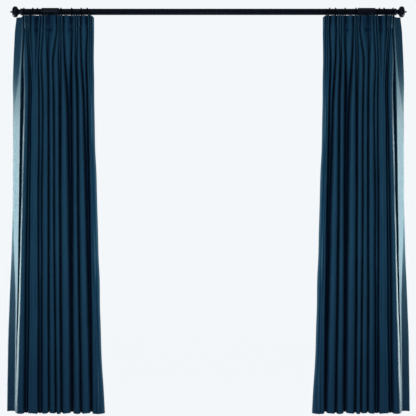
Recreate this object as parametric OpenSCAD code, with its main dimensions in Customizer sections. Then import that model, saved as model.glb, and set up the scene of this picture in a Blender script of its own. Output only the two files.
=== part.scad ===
// Pair of pinch-pleated curtains on a wall-mounted pole.
// X runs along the pole, +Y points to the wall, +Z is up.
// Origin: on the wall surface, at the height of the pole, midway between the brackets.
// Each side is drawn for the right hand (+X) and mirrored for the left.

/* [Pole] */
// Outer diameter of the pole tubes
pole_d = 34; // [32:0.5:34]
// Wall thickness of the pole tubes
pole_wall = 1.5; // [1:0.25:2.5]
// Length of the pole without its finials
pole_len = 2012; // [2008:2:2016]
// Distance from the wall to the centre line of the pole
stand_off = 90; // [88:1:110]

/* [Joining sleeves] */
// Outer diameter of the sleeve that joins two tubes
sleeve_d = 43; // [42:0.5:43.5]
// Length of the sleeve
sleeve_len = 93; // [80:1:94]
// Distance from the middle of the pole to the middle of a sleeve and its bracket
sleeve_x = 850.5; // [849:0.5:852]

/* [Finials] */
// Diameter of the flattened ball
ball_d = 60; // [50:1:66]
// Length of the flattened ball along the pole
ball_len = 34; // [28:1:38]
// Length of the neck between the pole and the ball
neck_len = 12; // [10:1:16]
// Diameter of the small tip
tip_d = 10; // [8:1:14]

/* [Brackets] */
// Length of the wall plate along the pole
plate_len = 88; // [84:1:100]
// Height of the wall plate
plate_h = 34; // [30:1:36]
// Thickness of the wall plate
plate_t = 5; // [4:0.5:8]
// Distance between the two screw holes
hole_pitch = 60; // [56:1:62]
// Diameter of the screw holes
hole_d = 5.5; // [4.5:0.5:6]
// Diameter of the arm
arm_d = 14; // [12:1:18]
// Length of the cradle along the pole
cradle_len = 24; // [20:1:30]
// Thickness of the cradle strap
cradle_t = 3; // [2.5:0.25:3.5]

/* [Rings and hooks] */
// Inner diameter of a ring
ring_id = 40; // [39.5:0.5:41]
// Wire diameter of a ring
ring_wire = 6; // [5:0.5:6]
// Inner diameter of the eyelet under a ring
eyelet_id = 6; // [5.5:0.25:7]
// Wire diameter of the eyelet and of the hooks
thin_wire = 1.8; // [1.6:0.1:2]
// Height of the pin of a hook
hook_pin = 34; // [28:1:40]

/* [Cloth] */
// Height of the hem below the pole's centre line
drop = 2154; // [1800:10:2400]
// Height of the stiffened heading
heading_h = 76; // [60:1:90]
// Thickness of the face cloth as a plain solid
face_t = 2; // [1.5:0.1:2.2]
// Thickness of the lining
lining_t = 1.2; // [0.8:0.1:1.4]
// Depth of a pleat in front of the heading
pleat_depth = 38; // [25:1:42]
// Number of folds in the body of the cloth
folds = 6; // [4:1:7]
// Depth of the folds, from crest to hollow
fold_depth = 36; // [20:1:38]

/* [Hidden] */
$fn = 64;
side_names = ["left", "right"];
side_signs = [-1, 1];
ring_numbers = [1 : 7];

// Places of the hooks from the middle of the pole, outermost first, and the lean of their rings:
// a positive angle carries the foot of the ring towards the middle
hook_x = [999, 962, 901, 789, 735, 684, 630];
ring_lean = [-7, -19, 19, 4, 0, 0, 23];
pleat_x = [968, 895, 793, 694, 636];
pleat_w = [28, 40, 38, 30, 28];

pole_r = pole_d / 2;
sleeve_r = sleeve_d / 2;
grub_d = 4;
grub_angle = 60;
fit_gap = 0.05;
touch_gap = 0.3;
pole_end = pole_len / 2;
pole_y = -stand_off;

ring_r = (ring_id + ring_wire) / 2;
eyelet_r = (eyelet_id + thin_wire) / 2;
eyelet_drop = ring_r + ring_wire / 2 + eyelet_r + thin_wire / 2 - 0.8;
hook_bend_r = 2.25;
hook_arc_r = 3;
hook_tip = 3;
hook_back_y = pole_y - hook_arc_r;
hook_pin_y = hook_back_y - 2 * hook_bend_r;
hook_foot_z = -76;

finial_start = pole_end + 4;
ferrule_len = 10;
ball_start = finial_start + neck_len;
ball_end = ball_start + ball_len;
plug_len = 40;
stud_d = 8;

cradle_r = sleeve_r + touch_gap;
arm_start = pole_y + cradle_r + cradle_t - 1;
screw_tilt = -40;
screw_d = 5;
knob_gap = 3;
knob_len = 9;
knob_r = 8;

heading_top = -27.5;
heading_foot = heading_top - heading_h;
heading_y = -104.5;
layer_gap = 0.3;
buckram_t = 0.8;
lining_lift = 28;
lining_inset = 14;
lining_corner_inset = 2;
lead_x = 614;
corner_x = 1003;
return_x = 1044;
return_y = -14;
hem_return_x = 1076;
hem_lead_x = 557;
fold_y = -124;
taper = (return_x - lead_x) / (hem_return_x - hem_lead_x);
taper_x = (return_x - hem_return_x * taper) / (1 - taper);
hem_corner_x = taper_x + (corner_x - taper_x) / taper;
corner_r = 10;
weight_d = 22;
weight_t = 3;
weight_gap = 1.2;
// Height over which the heading and the folds below it are one
overlap = 11.5;

// Helpers

// Draws the right-hand shape, or its mirror image for the left
module on_side(s) {
    mirror([s < 0 ? 1 : 0, 0, 0]) children();
}

// A round bar along X between two distances from the middle
module bar_x(from, to, d) {
    translate([from, pole_y, 0])
        rotate([0, 90, 0])
            cylinder(d = d, h = to - from);
}

// A round tube along X between two distances from the middle
module tube_x(from, to, d_out, d_in) {
    difference() {
        bar_x(from, to, d_out);
        bar_x(from - 1, to + 1, d_in);
    }
}

// A wire ring that lies in the XY plane
module wire_ring(r, wire) {
    rotate_extrude($fn = 96)
        translate([r, 0])
            circle(d = wire, $fn = 24);
}

// Half a turn of wire in the YZ plane, over the top of its centre
module wire_arch(r, wire) {
    rotate([90, 0, 90])
        rotate_extrude(angle = 180, $fn = 96)
            translate([r, 0])
                circle(d = wire, $fn = 24);
}

// Points of half an ellipse in the XY plane, from angle a0 to a1
function arc_points(cx, cy, rx, ry, a0, a1, steps) =
    [for (i = [0 : steps]) let (a = a0 + (a1 - a0) * i / steps) [cx + rx * cos(a), cy + ry * sin(a)]];

// Pole

module pole_centre_tube() {
    color([0.03, 0.04, 0.07])
        tube_x(-sleeve_x + 0.1, sleeve_x - 0.1, pole_d, pole_d - 2 * pole_wall);
}

module pole_end_tube(s) {
    color([0.03, 0.04, 0.07])
        on_side(s)
            tube_x(sleeve_x + 0.1, pole_end, pole_d, pole_d - 2 * pole_wall);
}

// Sleeve with a rounded bead near each end
module pole_sleeve(s) {
    half = sleeve_len / 2;
    bead = 1.2;
    bore_r = pole_r + fit_gap;
    inner = [[bore_r, -half], [sleeve_r - 1, -half], [sleeve_r, -half + 1]];
    lower_bead = arc_points(sleeve_r, -half + 5, bead / 2, 2, -90, 90, 8);
    upper_bead = arc_points(sleeve_r, half - 5, bead / 2, 2, -90, 90, 8);
    outer = [[sleeve_r, half - 1], [sleeve_r - 1, half], [bore_r, half]];
    color([0.04, 0.05, 0.08])
        on_side(s)
            difference() {
                translate([sleeve_x, pole_y, 0])
                    rotate([0, 90, 0])
                        rotate_extrude()
                            polygon(concat(inner, lower_bead, upper_bead, outer));
                for (dx = [-1, 1])
                    translate([sleeve_x + dx * 30, pole_y, 0])
                        rotate([180 - grub_angle, 0, 0])
                            cylinder(d = grub_d, h = sleeve_r + 5);
            }
}

// Four headless screws that press on the tubes from the back of the sleeves
module sleeve_grub_screws() {
    color("dimgray")
        for (s = side_signs, dx = [-1, 1])
            on_side(s)
                translate([sleeve_x + dx * 30, pole_y, 0])
                    rotate([180 - grub_angle, 0, 0])
                        translate([0, 0, pole_r])
                            difference() {
                                cylinder(d = grub_d, h = sleeve_r - pole_r - 0.4);
                                translate([0, 0, 2])
                                    cylinder(d = 2, h = 5, $fn = 6);
                            }
}

// Plug inside the tube's end, bored for the stud of the finial
module end_plug(s) {
    color("dimgray")
        on_side(s)
            tube_x(pole_end - plug_len, pole_end, pole_d - 2 * pole_wall - 2 * fit_gap, stud_d);
}

// Finials

// Collar that covers the joint between the pole and the finial
module finial_ferrule(s) {
    ferrule_from = pole_end - ferrule_len + 4;
    color([0.04, 0.05, 0.08])
        on_side(s)
            difference() {
                bar_x(ferrule_from, finial_start, pole_d + 3);
                bar_x(ferrule_from - 1, pole_end, pole_d + 2 * fit_gap);
                bar_x(pole_end - 1, finial_start + 1, stud_d + 2 * fit_gap);
            }
}

// Turned finial: neck, flattened ball, thin waist and tip, with a stud that enters the plug
module finial(s) {
    neck_r = 16;
    waist_r = 13;
    // Below 1, the ball is squarer than an ellipse
    fullness = 0.8;
    tip_len = tip_d * 0.8;
    tip_centre = ball_end - finial_start + 1 + tip_len / 2;
    neck = [for (i = [0 : 8]) let (t = i / 8)
        [neck_r - (neck_r - waist_r) * sin(180 * t), neck_len * t]];
    ball = [for (i = [0 : 30]) let (a = -55 + 137 * i / 30)
        [ball_d / 2 * pow(cos(a), fullness),
            neck_len + ball_len / 2 * (1 + sign(a) * pow(abs(sin(a)), fullness))]];
    tip = arc_points(0, tip_centre, tip_d / 2, tip_len / 2 + 1.5, -48, 90, 14);
    color([0.04, 0.05, 0.09])
        on_side(s)
            translate([finial_start, pole_y, 0])
                rotate([0, 90, 0]) {
                    rotate_extrude($fn = 96)
                        polygon(concat([[0, 0]], neck, ball, tip));
                    translate([0, 0, -plug_len + 8])
                        cylinder(d = stud_d - 2 * fit_gap, h = plug_len - 8);
                }
}

// Brackets

// Wall plate with round ends and two open screw holes, hidden behind the sleeve
module bracket_plate(s) {
    end_x = (plate_len - plate_h) / 2;
    color([0.03, 0.04, 0.07])
        on_side(s)
            translate([sleeve_x, 0, 0])
                rotate([90, 0, 0])
                    difference() {
                        linear_extrude(plate_t)
                            union() {
                                square([2 * end_x, plate_h], center = true);
                                for (dx = [-end_x, end_x])
                                    translate([dx, 0])
                                        circle(d = plate_h);
                            }
                        for (dx = [-hole_pitch / 2, hole_pitch / 2])
                            translate([dx, 0, -1])
                                cylinder(d = hole_d, h = plate_t + 2);
                    }
}

// Arm from the wall plate to the cradle, with a collar at the plate
module bracket_arm(s) {
    arm_len = -plate_t - arm_start;
    color([0.03, 0.04, 0.07])
        on_side(s)
            translate([sleeve_x, -plate_t, 0])
                rotate([90, 0, 0]) {
                    cylinder(d = arm_d, h = arm_len);
                    cylinder(d1 = arm_d + 10, d2 = arm_d + 2, h = 6);
                }
}

// Open strap that carries the sleeve from behind and below, with a boss for the thumbscrew
module bracket_cradle(s) {
    strap_r = cradle_r + cradle_t;
    boss_r = 6;
    color([0.03, 0.04, 0.07])
        on_side(s)
            translate([sleeve_x, pole_y, 0])
                difference() {
                    union() {
                        rotate([90, 0, 90])
                            linear_extrude(cradle_len, center = true)
                                difference() {
                                    circle(r = strap_r);
                                    polygon([[0, 0], [strap_r * 2, strap_r * 2.2], [-strap_r * 3, strap_r * 3],
                                        [-strap_r * 3, -8]]);
                                }
                        rotate([screw_tilt - 90, 0, 0])
                            cylinder(r = boss_r, h = strap_r + 5);
                    }
                    rotate([0, 90, 0])
                        cylinder(r = cradle_r, h = cradle_len * 2, center = true);
                    rotate([screw_tilt - 90, 0, 0])
                        cylinder(d = screw_d + 2 * fit_gap, h = strap_r * 2);
                    translate([0, arm_start - pole_y, 0])
                        rotate([-90, 0, 0])
                            cylinder(d = arm_d, h = 10);
                }
}

// Screw with a lobed knob that keeps the sleeve in the cradle
module thumbscrew(s) {
    lobes = 6;
    shaft_from = sleeve_r + touch_gap;
    shaft_to = cradle_r + cradle_t + 5 + knob_gap;
    color("dimgray")
        on_side(s)
            translate([sleeve_x, pole_y, 0])
                rotate([screw_tilt - 90, 0, 0]) {
                    translate([0, 0, shaft_from])
                        cylinder(d = screw_d, h = shaft_to - shaft_from + 1);
                    translate([0, 0, shaft_to])
                        linear_extrude(knob_len)
                            difference() {
                                circle(r = knob_r);
                                for (i = [0 : lobes - 1])
                                    rotate(i * 360 / lobes)
                                        translate([knob_r + 1.4, 0])
                                            circle(r = 2.6, $fn = 24);
                            }
                }
}

// Rings and hooks

// Height of a ring's centre when it rests on top of the pole with a lean
function ring_centre_z(lean) = pole_r + touch_gap + ring_wire / 2 - ring_r * cos(lean);
// Height of the foot of a ring's eyelet, where the hook hangs
function eyelet_foot_z(lean) = ring_centre_z(lean) - (eyelet_drop + eyelet_r) * cos(lean);
// Distance of a ring's centre from the middle, so that its eyelet is above the hook
function ring_centre_x(i) = hook_x[i] + (eyelet_drop + eyelet_r) * sin(ring_lean[i]);

module ring(s, number) {
    i = number - 1;
    color([0.04, 0.05, 0.09])
        on_side(s)
            translate([ring_centre_x(i), pole_y, ring_centre_z(ring_lean[i])])
                rotate([0, ring_lean[i], 0]) {
                    rotate([0, 90, 0])
                        wire_ring(ring_r, ring_wire);
                    translate([0, 0, -eyelet_drop])
                        rotate([90, 0, 0])
                            wire_ring(eyelet_r, thin_wire);
                    translate([0, 0, -ring_r - ring_wire / 2 - 0.7])
                        cylinder(d = 3.4, h = 2);
                }
}

// Wire hook: a pin behind the heading, a bend at the foot and a crook through the eyelet
module hook(s, number) {
    i = number - 1;
    foot_z = eyelet_foot_z(ring_lean[i]);
    color("silver")
        on_side(s)
            translate([hook_x[i], 0, 0]) {
                translate([0, pole_y, foot_z])
                    wire_arch(hook_arc_r, thin_wire);
                translate([0, pole_y + hook_arc_r, foot_z - hook_tip])
                    cylinder(d = thin_wire, h = hook_tip, $fn = 24);
                translate([0, hook_back_y, hook_foot_z])
                    cylinder(d = thin_wire, h = foot_z - hook_foot_z, $fn = 24);
                translate([0, hook_back_y - hook_bend_r, hook_foot_z])
                    rotate([180, 0, 0])
                        wire_arch(hook_bend_r, thin_wire);
                translate([0, hook_pin_y, hook_foot_z])
                    cylinder(d = thin_wire, h = hook_pin, $fn = 24);
            }
}

// Cloth

// Plan of the heading: straight behind the pleats, then back to the wall
function heading_path() = [[lead_x, heading_y], [corner_x, heading_y], [return_x, return_y]];

// Plan of the hem: soft folds, a rounded corner, then the return to the wall
function hem_path(steps) =
    let (crest_y = fold_y - fold_depth / 2)
    concat(
        [for (i = [0 : steps])
            let (t = i / steps)
            [hem_lead_x + (hem_corner_x - hem_lead_x) * t, fold_y - fold_depth / 2 * cos(360 * folds * t)]],
        arc_points(hem_corner_x, crest_y + corner_r, corner_r, corner_r, -80, -24, 5),
        [[hem_return_x, return_y]]);

// Unit vector to the back of the path at point i
function back_of(p, i) =
    let (a = p[max(i - 1, 0)], b = p[min(i + 1, len(p) - 1)], d = b - a)
    [-d[1], d[0]] / norm(d);

// The path moved towards its back
function moved_back(p, by) = [for (i = [0 : len(p) - 1]) p[i] + by * back_of(p, i)];

// Closed outline between two distances behind the path
function layer_outline(p, from, to) = concat(moved_back(p, from), [for (q = [len(p) - 1 : -1 : 0])
    moved_back(p, to)[q]]);

// Straight band of cloth in the heading
module heading_band(from, to, top, foot) {
    translate([0, 0, foot])
        linear_extrude(top - foot)
            polygon(layer_outline(heading_path(), from, to));
}

// Body of the face cloth, which widens from the heading to the hem
module hanging_folds() {
    hem = [for (q = layer_outline(hem_path(folds * 12), 0, face_t)) [q[0] - taper_x, q[1]]];
    translate([taper_x, 0, -drop])
        linear_extrude(drop + heading_foot + overlap, scale = [taper, 1], slices = 1)
            polygon(hem);
}

// Three fingers of one pleat, pinched together behind
module pleat(x, w) {
    finger_t = 5;
    for (k = [-1, 0, 1])
        translate([x + k * (w - finger_t) / 2, heading_y + 1, heading_foot])
            linear_extrude(heading_h)
                union() {
                    translate([-finger_t / 2, -pleat_depth + finger_t / 2])
                        square([finger_t, pleat_depth - finger_t / 2]);
                    translate([0, -pleat_depth + finger_t / 2])
                        circle(d = finger_t, $fn = 24);
                }
}

module panel_face(s) {
    color([0.10, 0.24, 0.31])
        on_side(s) {
            heading_band(0, face_t, heading_top, heading_foot);
            for (i = [0 : len(pleat_x) - 1])
                pleat(pleat_x[i], pleat_w[i]);
            hanging_folds();
        }
}

module heading_buckram(s) {
    color("ivory")
        on_side(s)
            heading_band(face_t + layer_gap, face_t + layer_gap + buckram_t, heading_top - 1, heading_foot + 1);
}

// Plan of the lining at its foot: flatter and narrower than the face
function lining_path() =
    let (y = heading_y + face_t + 2 * layer_gap + buckram_t)
    [[hem_lead_x + lining_inset, y],
        [hem_corner_x - lining_corner_inset, y],
        [hem_return_x - lining_inset, return_y - lining_inset]];

module panel_lining(s) {
    outline = [for (q = layer_outline(lining_path(), 0, lining_t)) [q[0] - taper_x, q[1]]];
    color("gainsboro")
        on_side(s)
            translate([taper_x, 0, -drop + lining_lift])
                linear_extrude(drop - lining_lift + heading_top - 2, scale = [taper, 1], slices = 1)
                    polygon(outline);
}

// Round weights at the two lower corners, behind the hem
module hem_weights(s) {
    path = hem_path(folds * 12);
    color("gray")
        on_side(s)
            for (i = [3, folds * 12 - 3])
                let (p = moved_back(path, face_t + weight_gap)[i], n = back_of(path, i))
                    translate([p[0], p[1], -drop + weight_d / 2 + 3])
                        rotate([90, 0, atan2(n[1], n[0]) + 90])
                            cylinder(d = weight_d, h = weight_t);
}

pole_centre_tube();
sleeve_grub_screws();
for (k = [0, 1]) {
    side = side_names[k];
    s = side_signs[k];
    pole_end_tube(s);
    pole_sleeve(s);
    end_plug(s);
    finial_ferrule(s);
    finial(s);
    bracket_plate(s);
    bracket_arm(s);
    bracket_cradle(s);
    thumbscrew(s);
    panel_face(s);
    panel_lining(s);
    heading_buckram(s);
    hem_weights(s);
    for (n = ring_numbers) {
        ring(s, n);
        hook(s, n);
    }
}
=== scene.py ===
"""Pair of pinch-pleated curtains on a pole. Metres, X along the pole, +Y into the wall, Z up.

Each panel is drawn on the right, where X grows outward, and mirrored for the left. A panel is a stack of
plan sections: crests and valleys of the folds at a few heights, joined by rounded fold profiles.
"""
import math

import bmesh
import bpy
import numpy as np
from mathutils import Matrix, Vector


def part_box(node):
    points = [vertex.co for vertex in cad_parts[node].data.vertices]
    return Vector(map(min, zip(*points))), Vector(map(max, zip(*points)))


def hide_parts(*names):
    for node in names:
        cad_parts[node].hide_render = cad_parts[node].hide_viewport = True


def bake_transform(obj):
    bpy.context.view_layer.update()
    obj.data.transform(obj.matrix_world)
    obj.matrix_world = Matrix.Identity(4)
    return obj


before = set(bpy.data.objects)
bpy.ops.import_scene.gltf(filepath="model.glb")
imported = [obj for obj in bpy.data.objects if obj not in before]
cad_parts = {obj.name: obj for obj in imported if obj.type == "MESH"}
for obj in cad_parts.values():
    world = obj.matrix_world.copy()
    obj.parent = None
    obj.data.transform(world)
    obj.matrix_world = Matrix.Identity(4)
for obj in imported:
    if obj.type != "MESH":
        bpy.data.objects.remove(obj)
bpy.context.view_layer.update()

SIDES = {"left": -1.0, "right": 1.0}
POLE_Y = -0.09

# ---------------------------------------------------------------- camera, light and room

CAM_X = -0.0024
CAM_Z = -1.0546
VIEW_W = 2.237
LENS_DIST = 10.6
SENSOR_W = 36.0


def new_object(name, data):
    """An object for the data, linked to the scene."""
    ob = bpy.data.objects.new(name, data)
    bpy.context.collection.objects.link(ob)
    return ob


def make_camera():
    cam = bpy.data.cameras.new("camera")
    cam.sensor_width = SENSOR_W
    cam.lens = SENSOR_W * LENS_DIST / VIEW_W
    cam.clip_end = 100
    ob = new_object("camera", cam)
    ob.location = (CAM_X, POLE_Y - LENS_DIST, CAM_Z)
    ob.rotation_euler = (math.pi / 2, 0, 0)
    bpy.context.scene.camera = ob


def area_light(name, place, aim, size, power, colour=(1, 1, 1)):
    light = bpy.data.lights.new(name, "AREA")
    light.shape = "RECTANGLE"
    light.size, light.size_y = size
    light.energy = power
    light.color = colour
    ob = new_object(name, light)
    ob.location = place
    ob.rotation_euler = (Vector(aim) - Vector(place)).to_track_quat("-Z", "Y").to_euler()
    ob.visible_camera = False


def make_lights():
    """A soft key and top light, a warm lamp beside each panel for its return, and a faint inner one."""
    area_light("key_front", (-1.5, -7, 2.5), (0, 0, -1), (5, 4), 225)
    area_light("top_soft", (0, -0.6, 2.4), (0, -0.1, -0.5), (3.2, 1.2), 20)
    for name, s in SIDES.items():
        area_light(f"rim_{name}", (s * 1.75, 0.19, -1.28), (s * 1.0, -0.08, -1.28), (0.3, 1.75), 72,
                   colour=(1.0, 0.95, 0.76))
        area_light(f"inner_{name}", (0, -0.9, -1.25), (s * 0.7, -0.12, -1.25), (0.2, 2.0), 5)


PALE = (0.896, 0.930, 0.956)
AMBIENT = 0.30
FLOOR_Z = -2.20
FLOOR_R = 7.0
FLOOR_GLOW = 0.995


def make_world():
    """Pale all round, but dim as a light, so that the lamps shape the folds."""
    world = bpy.data.worlds.new("studio")
    world.use_nodes = True
    bpy.context.scene.view_settings.view_transform = "Standard"
    tree = world.node_tree
    bg = tree.nodes["Background"]
    bg.inputs["Color"].default_value = (*PALE, 1)
    seen = tree.nodes.new("ShaderNodeLightPath").outputs["Is Camera Ray"]
    strength = tree.nodes.new("ShaderNodeMapRange")
    strength.inputs["To Min"].default_value = AMBIENT
    strength.inputs["To Max"].default_value = 1.0
    tree.links.new(seen, strength.inputs["Value"])
    tree.links.new(strength.outputs["Result"], bg.inputs["Strength"])
    bpy.context.scene.world = world


def make_floor():
    """Round pale floor that glows by itself, so that it melts into the background."""
    me = bpy.data.meshes.new("floor")
    turn = np.linspace(0, 2 * math.pi, 64, endpoint=False)
    ring = [(FLOOR_R * math.cos(t), FLOOR_R * math.sin(t), FLOOR_Z) for t in turn]
    me.from_pydata(ring, [], [list(range(len(ring)))])
    ob = new_object("floor", me)
    mat = bpy.data.materials.new("floor")
    mat.use_nodes = True
    bsdf = mat.node_tree.nodes["Principled BSDF"]
    bsdf.inputs["Base Color"].default_value = (0.004, 0.004, 0.004, 1)
    bsdf.inputs["Roughness"].default_value = 1.0
    bsdf.inputs["Specular IOR Level"].default_value = 0.0
    bsdf.inputs["Emission Color"].default_value = (*PALE, 1)
    bsdf.inputs["Emission Strength"].default_value = FLOOR_GLOW
    me.materials.append(mat)


# ---------------------------------------------------------------- materials

class Nodes:
    """Short hand for building a node tree."""

    def __init__(self, name):
        self.mat = bpy.data.materials.new(name)
        self.mat.use_nodes = True
        self.tree = self.mat.node_tree
        self.bsdf = self.tree.nodes["Principled BSDF"]

    def add(self, kind, links=None, **values):
        node = self.tree.nodes.new(kind)
        for key, value in values.items():
            if hasattr(node, key):
                setattr(node, key, value)
            else:
                node.inputs[key.replace("_", " ")].default_value = value
        for key, socket in (links or {}).items():
            self.tree.links.new(socket, node.inputs[key])
        return node

    def math(self, op, a, b=None, c=None):
        node = self.tree.nodes.new("ShaderNodeMath")
        node.operation = op
        for i, v in enumerate((a, b, c)):
            if v is None:
                continue
            if isinstance(v, (int, float)):
                node.inputs[i].default_value = v
            else:
                self.tree.links.new(v, node.inputs[i])
        return node.outputs[0]

    def ramp(self, fac, stops):
        node = self.tree.nodes.new("ShaderNodeValToRGB")
        while len(node.color_ramp.elements) < len(stops):
            node.color_ramp.elements.new(0.5)
        for el, (pos, colour) in zip(node.color_ramp.elements, stops):
            el.position = pos
            el.color = (*colour, 1)
        self.tree.links.new(fac, node.inputs["Fac"])
        return node.outputs["Color"]

    def mixed(self, colour, other, factor):
        node = self.tree.nodes.new("ShaderNodeMixRGB")
        node.inputs["Color2"].default_value = (*other, 1)
        self.tree.links.new(colour, node.inputs["Color1"])
        self.tree.links.new(factor, node.inputs["Fac"])
        return node.outputs["Color"]

    def set(self, **values):
        for key, value in values.items():
            self.bsdf.inputs[key.replace("_", " ")].default_value = value

    def link(self, **sockets):
        for key, socket in sockets.items():
            self.tree.links.new(socket, self.bsdf.inputs[key.replace("_", " ")])


def cloth_material(name, dark, light, thread=0.0009, sheen=0.5, tint=(0.6, 0.8, 0.8), rough=0.75, bump=0.25,
                   painted_shade_colour=None, specular=0.12, gloss=(1, 1, 1)):
    """Woven cloth on UVs in metres: warp and weft threads, slubs, and slow changes of colour.

    With a shade colour given, the colour is mixed towards it by the depth of the folds and towards the hem:
    painted shade in the folds and painted darkening towards the hem.
    """
    n = Nodes(name)
    uv = n.add("ShaderNodeUVMap", uv_map="cloth").outputs["UV"]
    sep = n.add("ShaderNodeSeparateXYZ", {"Vector": uv})
    u, v = sep.outputs["X"], sep.outputs["Y"]
    k = 2 * math.pi / thread
    warp = n.math("SINE", n.math("MULTIPLY", u, k))
    weft = n.math("SINE", n.math("MULTIPLY", v, k))
    weave = n.math("MULTIPLY", warp, weft)
    stretch = n.add("ShaderNodeMapping", {"Vector": uv})
    stretch.inputs["Scale"].default_value = (900, 30, 1)
    slub = n.add("ShaderNodeTexNoise", {"Vector": stretch.outputs[0]}, Scale=1.0, Detail=3.0).outputs["Fac"]
    cross = n.add("ShaderNodeMapping", {"Vector": uv})
    cross.inputs["Scale"].default_value = (18, 700, 1)
    slub2 = n.add("ShaderNodeTexNoise", {"Vector": cross.outputs[0]}, Scale=1.0, Detail=3.0).outputs["Fac"]
    slow = n.add("ShaderNodeTexNoise", {"Vector": uv}, Scale=5.0, Detail=2.0).outputs["Fac"]
    mix = n.math("ADD", n.math("MULTIPLY", slub, 0.45), n.math("MULTIPLY", slub2, 0.35))
    mix = n.math("ADD", mix, n.math("MULTIPLY", slow, 0.35))
    mix = n.math("MULTIPLY_ADD", weave, 0.05, mix)
    colour = n.ramp(mix, [(0.35, dark), (0.80, light)])
    if painted_shade_colour:
        # Painted shade in the folds and by the tacks, from the fold depth stored on the mesh.
        fold = n.add("ShaderNodeAttribute", attribute_name="fold").outputs["Fac"]
        # Painted shade towards the hem: the colour darkens more the lower it lies, from 1.3 m down to the
        # hem.
        low = n.add("ShaderNodeMapRange", {"Value": v},
                    From_Min=-1.3, From_Max=-2.15, To_Min=0.0, To_Max=0.5)
        painted_shade_amount = n.math("ADD", n.math("MULTIPLY", fold, 0.88), low.outputs["Result"])
        colour = n.mixed(colour, painted_shade_colour, n.math("MINIMUM", painted_shade_amount, 0.92))
    height = n.math("MULTIPLY_ADD", weave, 0.5, n.math("ADD", slub, slub2))
    bumped = n.add("ShaderNodeBump", {"Height": height}, Strength=bump, Distance=0.0004)
    roughness = n.math("MULTIPLY_ADD", slub2, 0.15, rough - 0.08)
    n.link(Base_Color=colour, Normal=bumped.outputs[0], Roughness=roughness)
    n.set(Sheen_Weight=sheen, Sheen_Roughness=0.35, Specular_IOR_Level=specular)
    n.bsdf.inputs["Sheen Tint"].default_value = (*tint, 1)
    n.bsdf.inputs["Specular Tint"].default_value = (*gloss, 1)
    return n.mat


def paint_material(name, base, edge, rough=0.32, grain=260.0, specular=0.25):
    """Stove enamel: fine orange peel, uneven gloss and slightly paler worn edges."""
    n = Nodes(name)
    at = n.add("ShaderNodeTexCoord").outputs["Object"]
    peel = n.add("ShaderNodeTexNoise", {"Vector": at}, Scale=grain, Detail=2.0).outputs["Fac"]
    smear = n.add("ShaderNodeTexNoise", {"Vector": at}, Scale=28.0, Detail=4.0).outputs["Fac"]
    worn = n.add("ShaderNodeNewGeometry").outputs["Pointiness"]
    wear = n.math("MULTIPLY", n.math("SUBTRACT", worn, 0.52), 6.0)
    wear = n.math("MULTIPLY", wear, smear)
    colour = n.ramp(n.math("ADD", n.math("MULTIPLY", smear, 0.35), wear), [(0.1, base), (0.75, edge)])
    bumped = n.add("ShaderNodeBump", {"Height": peel}, Strength=0.12, Distance=0.0003)
    roughness = n.math("MULTIPLY_ADD", smear, 0.2, rough - 0.1)
    n.link(Base_Color=colour, Normal=bumped.outputs[0], Roughness=roughness)
    n.set(Specular_IOR_Level=specular, Coat_Weight=0.02, Coat_Roughness=0.2)
    n.bsdf.inputs["Specular Tint"].default_value = (0.55, 0.72, 1.0, 1)
    return n.mat


def steel_material(name, base=(0.42, 0.44, 0.46), rough=0.35):
    """Bright zinc plate with drawn lines and dull patches."""
    n = Nodes(name)
    at = n.add("ShaderNodeTexCoord").outputs["Object"]
    lines = n.add("ShaderNodeMapping", {"Vector": at})
    lines.inputs["Scale"].default_value = (1500, 1500, 60)
    drawn = n.add("ShaderNodeTexNoise", {"Vector": lines.outputs[0]}, Scale=1.0, Detail=2.0).outputs["Fac"]
    patch = n.add("ShaderNodeTexNoise", {"Vector": at}, Scale=90.0, Detail=4.0).outputs["Fac"]
    dull = tuple(0.6 * c for c in base)
    colour = n.ramp(patch, [(0.3, dull), (0.65, base)])
    bumped = n.add("ShaderNodeBump", {"Height": drawn}, Strength=0.1, Distance=0.0002)
    roughness = n.math("MULTIPLY_ADD", patch, 0.25, rough - 0.1)
    n.link(Base_Color=colour, Normal=bumped.outputs[0], Roughness=roughness)
    n.set(Metallic=1.0)
    return n.mat


# ---------------------------------------------------------------- shape of the panels

# Heights of the sections: top, pinch, flare, chest, and on down to the hem
LEVELS = [-0.022, -0.100, -0.260, -0.420, -0.580, -1.010, -1.550, -2.100]

# Crests, lead edge first: X at each of LEVELS, then front Y in the heading, at the pinch and below
CRESTS = [
    ((623, 624, 624, 621, 620, 609, 593, 575), -143, -122, -141),
    ((632, 632, 633, 630, 629, 620, 605, 592), -143, -122, -143),
    ((642, 641, 645, 640, 638, 628, 617, 610), -143, -122, -141),
    ((669, 669, 671, 660, 656, 647, 637, 627), -129, -126, (-134, -132, -124, -100, -98, -98)),
    ((694, 695, 694, 685, 681, 677, 667, 656), -143, -122, -145),
    ((707, 707, 710, 703, 701, 699, 692, 683), -141, -119, (-112, -106, -104, -104, -104, -104)),
    ((720, 719, 724, 718, 714, 713, 710, 704), -143, -122, -141),
    ((760, 758, 757, 752, 743, 740, 736, 731), -131, -127, (-131, -114, -102, -98, -98, -98)),
    ((787, 786, 783, 778, 773, 771, 765, 761), -143, -122, -143),
    ((796, 796, 797, 796, 796, 796, 793, 788), -139, -119, (-130, -112, -106, -106, -106, -106)),
    ((805, 805, 818, 813, 811, 812, 808, 804), -143, -122, -142),
    ((828, 828, 847, 843, 841, 841, 839, 837), -131, -129, -140),
    ((875, 879, 882, 876, 873, 876, 874, 871), -143, -122, -142),
    ((890, 896, 905, 898, 898, 902, 902, 902), -143, -122, (-136, -135, -134, -127, -123, -117)),
    ((904, 911, 918, 916, 915, 920, 920, 921), -143, -122, -141),
    ((941, 938, 935, 931, 932, 936, 938, 940), -131, -129, -142),
    ((962, 963, 949, 941, 945, 950, 955, 960), -143, -122, -141),
    ((972, 971, 960, 953, 958, 965, 971, 976), -143, -122, (-126, -120, -122, -125, -123, -119)),
    ((982, 981, 979, 976, 978, 990, 1003, 1017), -143, -122, -140),
]

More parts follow.
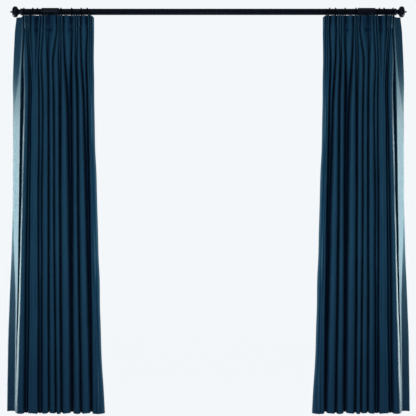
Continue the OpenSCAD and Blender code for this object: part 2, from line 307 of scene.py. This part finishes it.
# Valleys on the outward side of each crest: X at each of LEVELS, Y below the pinch, and how wide
# the floor of the valley is in the heading, in the middle and at the hem
VALLEYS = [
    ((627.5, 628, 628.5, 625.5, 624.5, 614.5, 599, 583), -138, (1, 1, 1)),
    ((637, 636.5, 639, 635, 633.5, 624, 611, 601), -138, (1, 1, 1)),
    ((650, 648, 656, 649, 646, 637, 630, 624), -88, (3, 6, 3)),
    ((687, 687, 683, 672, 667, 656, 644, 630), -88, (3, 6, 3)),
    ((700.5, 701, 706, 699.5, 698, 696, 689, 680.5), -102, (1.5, 2, 2)),
    ((713.5, 713, 714, 706, 704.5, 702, 695, 685.5), -102, (1.5, 2, 2)),
    ((728, 730, 735, 733.5, 733, 731, 731, 727.5), -84, (4, 6, 3)),
    ((780, 778, 772, 761, 754, 748, 741, 735), -86, (3, 6, 3)),
    ((791.5, 791, 790, 790.5, 792, 793.5, 790.5, 785.5), -100, (1.5, 2, 2)),
    ((800.5, 800.5, 804, 801, 799.5, 798.5, 795.5, 790.5), -100, (1.5, 2, 2)),
    ((812, 812, 836, 830, 828, 828, 823, 817), -100, (2, 4, 4)),
    ((866, 867, 860, 857, 856, 856, 857, 855), -102, (9, 6, 4)),
    ((882.5, 887.5, 898, 889, 888, 893, 893, 893), -108, (1.5, 3, 3)),
    ((897, 903.5, 912, 909, 908.5, 913.5, 912, 913), -104, (1.5, 4, 4)),
    ((913, 919, 926, 925, 924, 928, 928, 930), -139, (7, 1, 1)),
    ((956, 956, 943, 937, 940, 944, 948, 951), -139, (2, 1, 1)),
    ((967, 967, 956, 946.5, 952, 956.5, 961, 968), -106, (1.5, 3, 3)),
    ((977, 976, 964, 960, 964, 973, 981, 984), -100, (1.5, 4, 4)),
    ((988, 987, 1000, 996, 1001, 1010.5, 1021, 1037), -100, (1.5, 3, 2)),
]

# How square the sides of these folds are, as (crest, outward side): (in the heading, below)
FLAT_POWER = {(11, 1): (0.85, 3), (7, 0): (0.85, 3), (15, 0): (0.95, 3), (3, 0): (1.6, 3), (3, 1): (2, 3),
              (18, 1): (2.3, 1.8), (0, 0): (2.3, 2.0)}

# The return to the wall: height, then X and Y of its crest, its knee and its edge
RETURN = np.array([
    (-0.022, 998, -118, 1004, -66, 1036, -52),
    (-0.100, 998, -119, 1006, -64, 1045, -50),
    (-0.260, 1002, -120, 1014, -64, 1053, -48),
    (-0.370, 1008, -122, 1022, -62, 1057, -42),
    (-0.420, 1009, -123, 1031, -54, 1058, -36),
    (-0.500, 1010, -124, 1047, -36, 1057, -26),
    (-1.010, 1016, -125, 1051, -30, 1059, -18),
    (-1.300, 1020, -124, 1048, -35, 1066, -24),
    (-1.550, 1026, -118, 1039, -50, 1076, -35),
    (-1.760, 1032, -108, 1040, -58, 1083, -44),
    (-2.150, 1038, -88, 1044, -64, 1087, -52),
])

# The leading edge
LEAD_LEVELS = [*LEVELS[:-1], -1.90, -2.15]
LEAD_X = [613, 613, 614, 612, 611, 596, 581, 571, 552]
LEAD_Y = [-120, -118, -122, -124, -124, -126, -126, -126, -126]
HEAD_LEVELS = [-0.022, -0.060, *LEVELS[1:]]
HEAD_GAP = (-111, -107, -106)
TOP_Z = -0.0215
HEM_Z = -2.156
STITCH_Z = -2.134

FOLD_POWER = (2.3, 3.0)
FINE = 0.004
FINE_Z = np.arange(-0.010, -2.175, -FINE)


def smooth_rows(values):
    """Values on FINE_Z, eased: a little in the heading, where stitches hold the cloth, and more below."""
    out = []
    for sigma in (0.008, 0.038):
        half = int(3 * sigma / FINE)
        k = np.exp(-0.5 * (np.arange(-half, half + 1) * FINE / sigma) ** 2)
        out.append(np.convolve(np.pad(values, half, "edge"), k / k.sum(), "valid"))
    w = np.clip((-0.14 - FINE_Z) / 0.20, 0, 1)
    w = w * w * (3 - 2 * w)
    return out[0] * (1 - w) + out[1] * w


def track(z_levels, values):
    """Values at a few heights, as an eased line on FINE_Z."""
    z = np.array(z_levels, float)
    return smooth_rows(np.interp(-FINE_Z, -z, np.array(values, float)))


def wander(rng, size, wave=(0.25, 1.1)):
    """A slow random drift along the drop, none in the heading."""
    out = np.zeros(len(FINE_Z))
    for _ in range(4):
        swing = np.sin(2 * math.pi * FINE_Z / rng.uniform(*wave) + rng.uniform(0, 6.28))
        out += swing * rng.uniform(0.3, 0.7)
    w = np.clip((-0.12 - FINE_Z) / 0.35, 0, 1)
    return out * size * w


def panel_tracks():
    """Crest and valley lines down the whole drop, in millimetres: a list of (x, y) arrays, lead edge first.

    The second list is how wide the floor of each valley is.
    """
    rng = np.random.default_rng(7)
    crests, valleys, floors = [], [], []
    for xs, head, pinch, below in CRESTS:
        below = below if isinstance(below, tuple) else (below,) * 6
        first = 0.3 * pinch + 0.7 * below[0]
        lean = 6 if head < -138 else 3
        x = track(LEVELS, xs)
        y = track(HEAD_LEVELS, [head - lean, head, pinch, first, *below[1:]])
        crests.append((x + wander(rng, 0.6), y + wander(rng, 1.6)))
    for xs, below, widths in VALLEYS:
        first = 0.35 * HEAD_GAP[2] + 0.65 * below
        x = track(LEVELS, xs)
        y = track(HEAD_LEVELS, [*HEAD_GAP, first, *(below,) * 5])
        valleys.append((x + wander(rng, 0.4), y + wander(rng, 1.2)))
        floors.append(track((-0.10, -0.35, -1.2, -2.10), (widths[0], widths[1], widths[1], widths[2])))
    lead = (track(LEAD_LEVELS, LEAD_X) + wander(rng, 0.8), track(LEAD_LEVELS, LEAD_Y) + wander(rng, 1.5))
    out = [lead]
    for c, v in zip(crests, valleys):
        out += [c, v]
    for k in (1, 3, 5):
        out.append((track(RETURN[:, 0], RETURN[:, k]), track(RETURN[:, 0], RETURN[:, k + 1])))
    return out, floors


def half_fold(a, b, from_crest, power, n=26):
    """Rounded quarter of a fold between a crest and the valley or edge beside it."""
    t = np.linspace(0, math.pi / 2, n)
    along = np.sin(t) ** (2 / power)
    depth = 1 - np.cos(t) ** (2 / power)
    if not from_crest:
        along, depth = along[::-1], depth[::-1]
        a, b = b, a
    return np.column_stack([a[0] + (b[0] - a[0]) * along, a[1] + (b[1] - a[1]) * depth])


def section(points, floors, z, step=0.8, sigma=1.8):
    """One plan section as a fine eased polyline, with the arc length at which each key point lies."""
    low = np.clip((-0.10 - z) / 0.14, 0, 1)
    parts, keys = [], [0.0]
    last = len(points) - 1

    def add(seg):
        parts.append(seg if not parts else seg[1:])
        keys.append(keys[-1] + np.hypot(*np.diff(seg, axis=0).T).sum())

    for i in range(last):
        a, b = np.array(points[i]), np.array(points[i + 1])
        if i >= last - 2:
            t = np.linspace(0, 1, 40)[:, None]
            add(a * (1 - t) + b * t)
            continue
        from_crest = i % 2 == 1
        side = 1 if from_crest else 0
        head, below = FLAT_POWER.get(((i - side) // 2, side), FOLD_POWER)
        power = head + (below - head) * low
        if from_crest:
            half = np.array([floors[i // 2] / 2, 0])
            add(half_fold(a, b - half, True, power))
            add(np.array([b - half, b, b + half]))
        else:
            half = np.array([floors[i // 2 - 1] / 2, 0]) if i else np.zeros(2)
            add(half_fold(a + half, b, False, power))
    line = np.vstack(parts)
    s = np.concatenate([[0], np.cumsum(np.hypot(*np.diff(line, axis=0).T))])
    count = int(s[-1] / step)
    even = np.linspace(0, s[-1], count)
    xy = np.column_stack([np.interp(even, s, line[:, k]) for k in (0, 1)])
    gap = even[1]
    half = int(4 * sigma / gap)
    kern = np.exp(-0.5 * (np.arange(-half, half + 1) * gap / sigma) ** 2)
    kern /= kern.sum()
    eased = []
    for k in (0, 1):
        ends = 2 * xy[0, k] - xy[half:0:-1, k], 2 * xy[-1, k] - xy[-2:-half - 2:-1, k]
        eased.append(np.convolve(np.concatenate([ends[0], xy[:, k], ends[1]]), kern, "valid"))
    return even, np.column_stack(eased), np.array(keys)


def row_heights():
    """Heights of the rows of vertices: close in the heading and at the hem, wider between."""
    return np.concatenate([
        np.arange(TOP_Z, -0.112, -0.0035), np.arange(-0.113, -0.50, -0.009),
        np.arange(-0.505, STITCH_Z + 0.012, -0.021), np.linspace(STITCH_Z + 0.004, HEM_Z, 8)])


def face_grid():
    """Vertices of the face cloth as rows x columns x 3, in metres, and its UVs in metres."""
    tracks, floors = panel_tracks()
    heights = row_heights()
    sections = []
    for z in heights:
        pts = [(np.interp(-z, -FINE_Z, x), np.interp(-z, -FINE_Z, y)) for x, y in tracks]
        sections.append(section(pts, [np.interp(-z, -FINE_Z, w) for w in floors], z))
    spans = np.array([np.diff(k) for _, _, k in sections])
    counts = np.clip(np.ceil(spans.max(axis=0) / 4.8), 2, 14).astype(int)
    rows, us = [], []
    for z, (even, xy, keys) in zip(heights, sections):
        s = [np.linspace(keys[i], keys[i + 1], counts[i], endpoint=False) for i in range(len(counts))]
        s = np.concatenate([*s, [keys[-1]]]) * (even[-1] / keys[-1])
        x, y = (np.interp(s, even, xy[:, k]) for k in (0, 1))
        rows.append(np.column_stack([x, y, np.full(len(s), z * 1000)]))
        us.append(s)
    grid = np.array(rows) / 1000
    u = np.array(us).mean(axis=0) / 1000
    shape_ends(grid)
    creases(grid)
    uv = np.zeros((*grid.shape[:2], 2))
    uv[..., 0] = u[None, :]
    uv[..., 1] = grid[..., 2]
    return grid, uv


def shape_ends(grid):
    """Top edge dips at both corners, and the hem rises a little in the valleys."""
    top = np.clip((grid[..., 2] + 0.10) / 0.078, 0, 1)
    x = grid[0, :, 0]
    dip = 0.0115 * np.clip((0.630 - x) / 0.016, 0, 1) + 0.0055 * np.clip((x - 1.000) / 0.012, 0, 1)
    grid[..., 2] -= top * dip[None, :]
    low = np.clip((-2.00 - grid[..., 2]) / 0.15, 0, 1)
    y = grid[-1, :, 1]
    rise = 0.005 * np.clip((y + 0.145) / 0.05, 0, 1) + 0.002 * np.sin(grid[-1, :, 0] * 61)
    grid[..., 2] += low * rise[None, :]


def fold_depth(grid):
    """How deep each vertex lies in the folds, from 0 on the crests to 1 in the valleys and by the tacks; it
    is the mask for the painted shade in the folds.
    """
    out = np.zeros(grid.shape[:2])
    for i, row in enumerate(grid):
        x, y = row[:, 0], row[:, 1]
        near = np.abs(x[:, None] - x[None, :]) < 0.024
        front = np.where(near, y[None, :], 1.0).min(axis=1)
        pinched = math.exp(-((row[:, 2].mean() + 0.100) / 0.012) ** 2)
        out[i] = np.clip((y - front - 0.006 + 0.003 * pinched) / (0.030 - 0.019 * pinched), 0, 1)
    fade = np.clip((1.012 - grid[..., 0]) / 0.012, 0, 1)
    return out * fade


def normals(grid):
    """Unit normals that point to the back of the cloth."""
    du = np.gradient(grid, axis=1)
    dv = np.gradient(grid, axis=0)
    n = np.cross(du, dv)
    n /= np.linalg.norm(n, axis=2, keepdims=True) + 1e-12
    return n


def creases(grid):
    """Faint soft ripples, as pressed cloth keeps."""
    rng = np.random.default_rng(21)
    n = normals(grid)
    x, z = grid[..., 0], grid[..., 2]
    off = np.zeros(x.shape)
    for _ in range(9):
        kx, kz = rng.uniform(-60, 60), rng.uniform(8, 38)
        off += np.sin(kx * x + kz * z + rng.uniform(0, 6.28)) * rng.uniform(0.05, 0.22)
    calm = np.clip((-0.12 - z) / 0.2, 0, 1)
    grid += n * (off * 0.0010 * calm)[..., None]


def mesh_from_grid(name, grid, uv, side, keep=None, depth=None):
    """A mesh of quads over a grid, on the named side, with only the cells that keep says."""
    rows, cols = grid.shape[:2]
    co = grid.copy()
    co[..., 0] *= SIDES[side]
    index = np.arange(rows * cols).reshape(rows, cols)
    a, b, c, d = index[:-1, :-1], index[:-1, 1:], index[1:, 1:], index[1:, :-1]
    quads = np.stack([a, b, c, d], axis=-1)
    if SIDES[side] > 0:
        quads = quads[..., ::-1]
    if keep is not None:
        quads = quads[keep]
    quads = quads.reshape(-1, 4)
    used = np.unique(quads)
    remap = np.zeros(rows * cols, int)
    remap[used] = np.arange(len(used))
    me = bpy.data.meshes.new(name)
    me.from_pydata(co.reshape(-1, 3)[used].tolist(), [], remap[quads].tolist())
    layer = me.uv_layers.new(name="cloth")
    flat = uv.reshape(-1, 2)[used]
    loops = np.zeros(len(me.loops), int)
    me.loops.foreach_get("vertex_index", loops)
    layer.data.foreach_set("uv", flat[loops].ravel())
    me.polygons.foreach_set("use_smooth", np.ones(len(me.polygons), bool))
    # The fold depth rides on the mesh as the mask for the painted shade in the folds.
    if depth is not None:
        fold = me.attributes.new("fold", "FLOAT", "POINT")
        fold.data.foreach_set("value", depth.reshape(-1)[used])
    me.update()
    return new_object(name, me)


def solidify(ob, thickness):
    """Thickness on the side that the sheet's normals point away from."""
    mod = ob.modifiers.new("thickness", "SOLIDIFY")
    mod.thickness = thickness
    mod.offset = -1.0
    mod.use_even_offset = False
    mod.use_rim = True


def drape(ob, material):
    """Material and slot of a piece of cloth, with its placement baked into its mesh."""
    ob.data.materials.append(material)
    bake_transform(ob)
    return ob


def back_sheet(grid, columns, behind, inset_lead, inset_wall, foot, top, reach=14, ease=7):
    """A sheet behind the face that clears all its folds: its rows follow the rearmost line of the face."""
    out = []
    for row in grid:
        z = row[:, 2].mean()
        if not foot - 1e-6 <= z <= top + 1e-6:
            continue
        x, y = row[:, 0] * 1000, row[:, 1] * 1000
        order = np.argsort(x)
        step = 2.0
        gx = np.arange(x.min(), x.max() + step, step)
        peaks = np.interp(gx, x[order], y[order])
        np.maximum.at(peaks, np.round((x - x.min()) / step).astype(int), y)
        w = int(reach / step)
        pad = np.pad(peaks, w, "edge")
        high = np.array([pad[i:i + 2 * w + 1].max() for i in range(len(peaks))])
        half = int(3 * ease / step)
        kern = np.exp(-0.5 * (np.arange(-half, half + 1) * step / ease) ** 2)
        soft = np.convolve(np.pad(high, half, "edge"), kern / kern.sum(), "valid")
        soft = np.maximum(soft, peaks) + behind
        keep = (gx >= gx[0] + inset_lead) & (gx <= gx[-1] - inset_wall)
        lx, ly = gx[keep], soft[keep]
        s = np.concatenate([[0], np.cumsum(np.hypot(np.diff(lx), np.diff(ly)))])
        e = np.linspace(0, s[-1], columns)
        out.append(np.column_stack([np.interp(e, s, lx), np.interp(e, s, ly), np.full(columns, z * 1000)]))
    return np.array(out) / 1000


def grid_uv(grid):
    """UVs in metres: the mean run along the rows, and the height."""
    uv = np.zeros((*grid.shape[:2], 2))
    step = np.linalg.norm(np.diff(grid, axis=1), axis=2).mean(axis=0)
    uv[..., 0] = np.concatenate([[0], np.cumsum(step)])[None, :]
    uv[..., 1] = grid[..., 2]
    return uv


def finish_bmesh(name, bm):
    """A linked object from a finished bmesh."""
    me = bpy.data.meshes.new(name)
    bm.to_mesh(me)
    bm.free()
    return new_object(name, me)


def capsules(name, side, spots, length, radius):
    """Short thread stitches: (point, direction) pairs."""
    bm = bmesh.new()
    layer = bm.loops.layers.uv.new("cloth")
    around = 6
    for p, d in spots:
        d = np.array(d) / np.linalg.norm(d)
        up = np.array([0, 0, 1.0]) if abs(d[2]) < 0.9 else np.array([1.0, 0, 0])
        a = np.cross(d, up)
        a /= np.linalg.norm(a)
        b = np.cross(d, a)
        rings = []
        for t, r in ((-0.5, 0.35), (-0.32, 0.95), (0, 1.1), (0.32, 0.95), (0.5, 0.35)):
            ring = []
            for k in range(around):
                w = 2 * math.pi * k / around
                q = np.array(p) + d * t * length + (a * math.cos(w) + b * math.sin(w)) * r * radius
                ring.append(bm.verts.new((q[0] * SIDES[side], q[1], q[2])))
            rings.append(ring)
        for r0, r1 in zip(rings, rings[1:]):
            for k in range(around):
                bm.faces.new((r0[k], r0[(k + 1) % around], r1[(k + 1) % around], r1[k]))
        bm.faces.new(rings[0][::-1])
        bm.faces.new(rings[-1])
    bmesh.ops.recalc_face_normals(bm, faces=bm.faces)
    for f in bm.faces:
        f.smooth = True
        for lp in f.loops:
            lp[layer].uv = (lp.vert.co.x, lp.vert.co.z)
    return finish_bmesh(name, bm)


def pouch(name, side, centre, normal, width=0.030, height=0.028, thick=0.0055):
    """Small pillow of cloth round a weight, flat to the back of the hem."""
    n = np.array([normal[0], normal[1], 0.0])
    n /= np.linalg.norm(n)
    t = np.array([-n[1], n[0], 0.0])
    size = 17
    a = np.linspace(-1, 1, size)
    uu, vv = np.meshgrid(a, a)
    dome = np.sqrt(np.clip(1 - np.abs(uu) ** 3.2, 0, 1) * np.clip(1 - np.abs(vv) ** 3.2, 0, 1))
    bm = bmesh.new()
    layer = bm.loops.layers.uv.new("cloth")
    sheets = []
    for sign in (1, -1):
        verts = []
        for i in range(size):
            for j in range(size):
                u, v, h = uu[i, j], vv[i, j], dome[i, j]
                edge = h < 1e-6
                if sign < 0 and edge:
                    verts.append(sheets[0][i * size + j])
                    continue
                q = np.array(centre) + t * u * width / 2 + n * (sign * h * thick / 2)
                q[2] += v * height / 2 * (1 - 0.06 * u * u)
                verts.append(bm.verts.new((q[0] * SIDES[side], q[1], q[2])))
        sheets.append(verts)
        for i in range(size - 1):
            for j in range(size - 1):
                k = i * size + j
                quad = [verts[k], verts[k + 1], verts[k + size + 1], verts[k + size]]
                if len(set(quad)) == 4:
                    bm.faces.new(quad if sign > 0 else quad[::-1])
    bmesh.ops.recalc_face_normals(bm, faces=bm.faces)
    for f in bm.faces:
        f.smooth = True
        for lp in f.loops:
            lp[layer].uv = (lp.vert.co.x + lp.vert.co.y, lp.vert.co.z)
    return finish_bmesh(name, bm)


FACE_T = 0.0012
# How far the turned edges reach in from both sides of the sheet
TURN_IN = 0.036
PLEAT_X = (0.632, 0.707, 0.796, 0.894, 0.972)
PINCH_Z = -0.100
# A column of the grid near the leading edge, where the hem row is looked up
HEM_COLUMN = 5


def build_panel(side, grid, uv, mats):
    """All the cloth pieces of one side; the CAD parts that they take the place of are hidden."""
    n = normals(grid)
    arc = uv[0, :, 0]

    # The face carries its fold depth, the mask for its painted shade in the folds.
    face = mesh_from_grid(f"panel_face_cloth_{side}", grid, uv, side, depth=fold_depth(grid))
    solidify(face, FACE_T)
    drape(face, mats["face"])
    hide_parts(f"panel_face_{side}")

    # Turned edges on the back: both sides, the hem and the top
    turn = grid + n * (FACE_T + 0.0004)
    mid_arc = (arc[:-1] + arc[1:]) / 2
    mid_z = (grid[:-1, :-1, 2] + grid[1:, 1:, 2]) / 2
    near_edge = (mid_arc < TURN_IN) | (mid_arc > arc[-1] - TURN_IN)
    keep = near_edge[None, :] | (mid_z < STITCH_Z) | (mid_z > mid_z[0][None, :] - 0.009)
    turned = mesh_from_grid(f"turned_hems_{side}", turn, uv, side, keep=keep)
    solidify(turned, 0.0010)
    drape(turned, mats["face"])

    # Stitches along the hem, and the tacks that hold each pleat
    row = int(np.argmin(np.abs(grid[:, HEM_COLUMN, 2] - STITCH_Z)))
    line, back = grid[row], n[row]
    s = np.concatenate([[0], np.cumsum(np.linalg.norm(np.diff(line, axis=0), axis=1))])
    spots = []
    for d in np.arange(0.006, s[-1] - 0.004, 0.0065):
        p = [np.interp(d, s, line[:, k]) for k in range(3)]
        q = [np.interp(d + 0.001, s, line[:, k]) for k in range(3)]
        b = np.array([np.interp(d, s, back[:, k]) for k in range(3)])
        spots.append((np.array(p) - b * 0.00015, np.array(q) - np.array(p)))
    stitches = capsules(f"hem_stitches_{side}", side, spots, 0.0036, 0.00038)
    drape(stitches, mats["thread"])

    tacks = []
    for centre in PLEAT_X:
        for dz in (-0.0035, -0.0012, 0.0012, 0.0035):
            tilt = math.copysign(0.05, dz)
            tacks.append(((centre, -0.1215, PINCH_Z + dz), (1, 0, tilt)))
    pleat_tacks = capsules(f"pleat_tacks_{side}", side, tacks, 0.016, 0.0005)
    drape(pleat_tacks, mats["thread"])

    # Stiffener and lining behind the heading and the folds
    stiff = back_sheet(grid, 110, 1.6, 6, 10, -0.104, -0.026, reach=10, ease=5)
    buckram = mesh_from_grid(f"heading_stiffener_{side}", stiff, grid_uv(stiff), side)
    solidify(buckram, 0.0007)
    drape(buckram, mats["buckram"])
    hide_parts(f"heading_buckram_{side}")

    lin = back_sheet(grid, 200, 3.2, 26, 18, -2.126, -0.033)
    rng = np.random.default_rng(5)
    ripple = np.zeros(lin.shape[:2])
    for _ in range(6):
        kx, kz = rng.uniform(50, 110), rng.uniform(-3, 3)
        wave = np.sin(kx * lin[..., 0] + kz * lin[..., 2] + rng.uniform(0, 6.28))
        ripple += wave * rng.uniform(0.2, 0.5)
    down = np.clip((-0.10 - lin[..., 2]) / 0.5, 0, 1)
    lin[..., 1] += (ripple + 1.4).clip(0) * 0.0035 * down
    lining = mesh_from_grid(f"panel_lining_cloth_{side}", lin, grid_uv(lin), side)
    solidify(lining, 0.0007)
    drape(lining, mats["lining"])
    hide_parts(f"panel_lining_{side}")

    # Weighted corners
    lo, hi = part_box(f"hem_weights_{side}")
    for k, run in enumerate((0.020, arc[-1] - 0.022)):
        col = int(np.argmin(np.abs(arc - run)))
        p = grid[row, col] + n[row, col] * 0.0062
        ob = pouch(f"weight_pouch_{side}_{k + 1}", side, (p[0], p[1], lo.z + 0.016), n[row, col])
        drape(ob, mats["lining"])
    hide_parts(f"hem_weights_{side}")


# ---------------------------------------------------------------- hardware finishes

def finish_hardware():
    """Gives every CAD node that stays its enamel or zinc."""
    enamel = paint_material("pole_enamel", (0.0007, 0.0012, 0.0030), (0.003, 0.005, 0.010),
                            rough=0.42, specular=0.02)
    gloss = paint_material("sleeve_enamel", (0.0016, 0.0028, 0.006), (0.006, 0.010, 0.018),
                           rough=0.30, specular=0.08)
    ring = paint_material("ring_enamel", (0.0006, 0.0010, 0.0026), (0.003, 0.005, 0.010),
                          rough=0.36, specular=0.02)
    steel = steel_material("zinc_plate")
    rules = [("pole_sleeve", gloss), ("pole_", enamel), ("finial", gloss), ("ring_", ring),
             ("bracket_", enamel), ("thumbscrew", steel), ("hook_", steel),
             ("end_plug", steel), ("sleeve_grub", steel)]
    for name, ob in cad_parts.items():
        for key, mat in rules:
            if name.startswith(key):
                ob.data.materials.clear()
                ob.data.materials.append(mat)
                break


def main():
    make_camera()
    make_world()
    make_floor()
    make_lights()
    finish_hardware()
    mats = {
        # The face's shade colour is painted into its folds and towards its hem.
        "face": cloth_material("face_weave", (0.0048, 0.0255, 0.051), (0.0088, 0.0385, 0.075),
                               sheen=0.03, tint=(0.5, 0.8, 1.0), painted_shade_colour=(0.0005, 0.0024, 0.017),
                               rough=0.55, specular=0.26, gloss=(0.18, 0.60, 0.95)),
        "lining": cloth_material("lining_weave", (0.36, 0.45, 0.47), (0.48, 0.59, 0.61), thread=0.0006,
                                 sheen=0.1, tint=(1, 1, 1), bump=0.12),
        "buckram": cloth_material("buckram_weave", (0.60, 0.57, 0.48), (0.72, 0.69, 0.60), thread=0.0015,
                                  sheen=0.0, tint=(1, 1, 1), bump=0.4),
        "thread": cloth_material("sewing_thread", (0.006, 0.028, 0.050), (0.012, 0.050, 0.080),
                                 thread=0.0004),
    }
    grid, uv = face_grid()
    for side in SIDES:
        build_panel(side, grid, uv, mats)


main()
